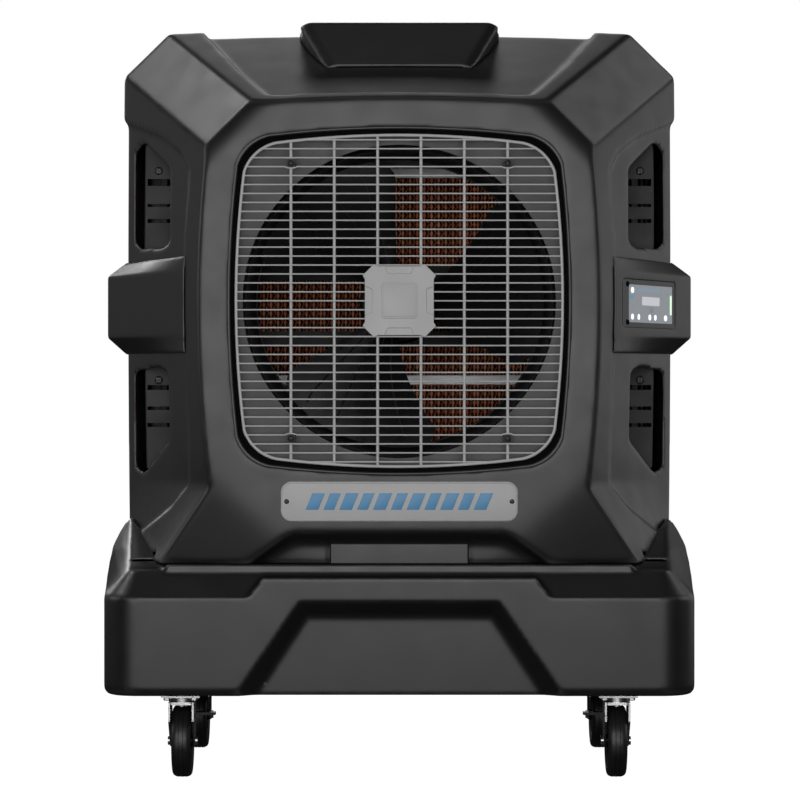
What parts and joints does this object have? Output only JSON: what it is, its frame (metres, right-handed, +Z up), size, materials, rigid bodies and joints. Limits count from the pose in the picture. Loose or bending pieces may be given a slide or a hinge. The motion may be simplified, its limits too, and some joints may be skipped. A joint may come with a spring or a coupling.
{
  "type": "evaporative cooler",
  "caption": "Portable evaporative cooler: tapered charcoal hood with wire-grilled fan outlet over a flared water tank on swivel casters.",
  "frame": {"origin": "on the floor, at the centre of the footprint", "axes": "+Z up, -Y the way the air blows out of the front grille, +X to the right as seen from the front"},
  "size_m": [1.276, 0.75, 1.596],
  "materials": {
    "charcoal_plastic": "fine moulded texture",
    "shroud_plastic": "satin",
    "grille_wire": "powder coat",
    "badge_plastic": "satin",
    "zinc_steel": "zinc plated",
    "black_gloss": "gloss",
    "screen_glass": "lit display under glass",
    "motor_paint": "satin",
    "fan_plastic": "satin",
    "pad_paper": "fluted cellulose",
    "white_plastic": "satin",
    "black_rubber": "matt",
    "brass_fitting": "machined",
    "lever_red": "satin",
    "caster_tyre": "matt"
  },
  "bodies": {
    "cabinet": {"sump": "charcoal_plastic", "housing": "charcoal_plastic", "top_cover": "charcoal_plastic", "left_pod": "charcoal_plastic", "right_pod": "charcoal_plastic", "lower_hatch": "charcoal_plastic", "shroud_rim": "shroud_plastic", "fan_shroud": "shroud_plastic", "orifice_ring": "shroud_plastic", "left_vent_insert": "shroud_plastic", "right_vent_insert": "shroud_plastic", "front_grille": "grille_wire", "grille_badge": "badge_plastic", "nameplate": "badge_plastic", "grille_screws": "zinc_steel", "nameplate_screws": "zinc_steel", "vent_screws": "zinc_steel", "guard_screws": "zinc_steel", "caster_bolts": "zinc_steel", "caster_plates": "zinc_steel", "motor_bolts": "zinc_steel", "control_bezel": "black_gloss", "touchscreen": "screen_glass", "motor": "motor_paint", "motor_straps": "grille_wire", "left_media_pad": "pad_paper", "centre_media_pad": "pad_paper", "right_media_pad": "pad_paper", "media_frame": "shroud_plastic", "media_rails": "white_plastic", "water_header": "white_plastic", "riser_hose": "black_rubber", "pump": "black_gloss", "hose_inlet": "brass_fitting", "float_valve": "white_plastic", "drain_valve": "white_plastic", "rear_guard": "shroud_plastic", "cord_gland": "black_gloss"},
    "fan": {"fan_hub": "fan_plastic", "fan_blades": "fan_plastic", "motor_shaft": "zinc_steel"},
    "float": {"float_arm": "brass_fitting", "float_ball": "white_plastic"},
    "drain_handle": {"drain_lever": "lever_red"},
    "fill_flap": {"fill_door": "charcoal_plastic"},
    "swivel_fl": {"fork_fl": "zinc_steel"},
    "wheel_fl": {"wheel_hub_fl": "fan_plastic", "tyre_fl": "caster_tyre"},
    "swivel_fr": {"fork_fr": "zinc_steel"},
    "wheel_fr": {"wheel_hub_fr": "fan_plastic", "tyre_fr": "caster_tyre"},
    "swivel_rl": {"fork_rl": "zinc_steel"},
    "wheel_rl": {"wheel_hub_rl": "fan_plastic", "tyre_rl": "caster_tyre"},
    "swivel_rr": {"fork_rr": "zinc_steel"},
    "wheel_rr": {"wheel_hub_rr": "fan_plastic", "tyre_rr": "caster_tyre"},
    "pedal_rl": {"brake_pedal_rl": "zinc_steel"},
    "pedal_rr": {"brake_pedal_rr": "zinc_steel"}
  },
  "joints": [
    {"name": "fan_spin", "type": "hinge", "parent": "cabinet", "child": "fan", "pos_m": [0, -0.225, 0.99], "axis": [0, 1, 0], "continuous": true},
    {"name": "float_swing", "type": "hinge", "parent": "cabinet", "child": "float", "pos_m": [-0.4, 0.28, 0.33], "axis": [1, 0, 0], "range_deg": [-36, 0]},
    {"name": "drain_turn", "type": "hinge", "parent": "cabinet", "child": "drain_handle", "pos_m": [0.4, 0.345, 0.258], "axis": [0, 0, 1], "range_deg": [0, 90]},
    {"name": "fill_flap_hinge", "type": "hinge", "parent": "cabinet", "child": "fill_flap", "pos_m": [0, 0.371, 0.2625], "axis": [-1, 0, 0], "range_deg": [0, 95]},
    {"name": "swivel_fl_turn", "type": "hinge", "parent": "cabinet", "child": "swivel_fl", "pos_m": [-0.452, -0.285, 0.157], "axis": [0, 0, 1], "continuous": true},
    {"name": "wheel_fl_roll", "type": "hinge", "parent": "swivel_fl", "child": "wheel_fl", "pos_m": [-0.452, -0.257, 0.075], "axis": [1, 0, 0], "continuous": true},
    {"name": "swivel_fr_turn", "type": "hinge", "parent": "cabinet", "child": "swivel_fr", "pos_m": [0.452, -0.285, 0.157], "axis": [0, 0, 1], "continuous": true},
    {"name": "wheel_fr_roll", "type": "hinge", "parent": "swivel_fr", "child": "wheel_fr", "pos_m": [0.452, -0.257, 0.075], "axis": [1, 0, 0], "continuous": true},
    {"name": "swivel_rl_turn", "type": "hinge", "parent": "cabinet", "child": "swivel_rl", "pos_m": [-0.452, 0.26, 0.157], "axis": [0, 0, 1], "continuous": true},
    {"name": "wheel_rl_roll", "type": "hinge", "parent": "swivel_rl", "child": "wheel_rl", "pos_m": [-0.452, 0.288, 0.075], "axis": [1, 0, 0], "continuous": true},
    {"name": "swivel_rr_turn", "type": "hinge", "parent": "cabinet", "child": "swivel_rr", "pos_m": [0.452, 0.26, 0.157], "axis": [0, 0, 1], "continuous": true},
    {"name": "wheel_rr_roll", "type": "hinge", "parent": "swivel_rr", "child": "wheel_rr", "pos_m": [0.452, 0.288, 0.075], "axis": [1, 0, 0], "continuous": true},
    {"name": "pedal_rl_press", "type": "hinge", "parent": "swivel_rl", "child": "pedal_rl", "pos_m": [-0.452, 0.238, 0.128], "axis": [1, 0, 0], "range_deg": [0, 8]},
    {"name": "pedal_rr_press", "type": "hinge", "parent": "swivel_rr", "child": "pedal_rr", "pos_m": [0.452, 0.238, 0.128], "axis": [1, 0, 0], "range_deg": [0, 8]}
  ]
}
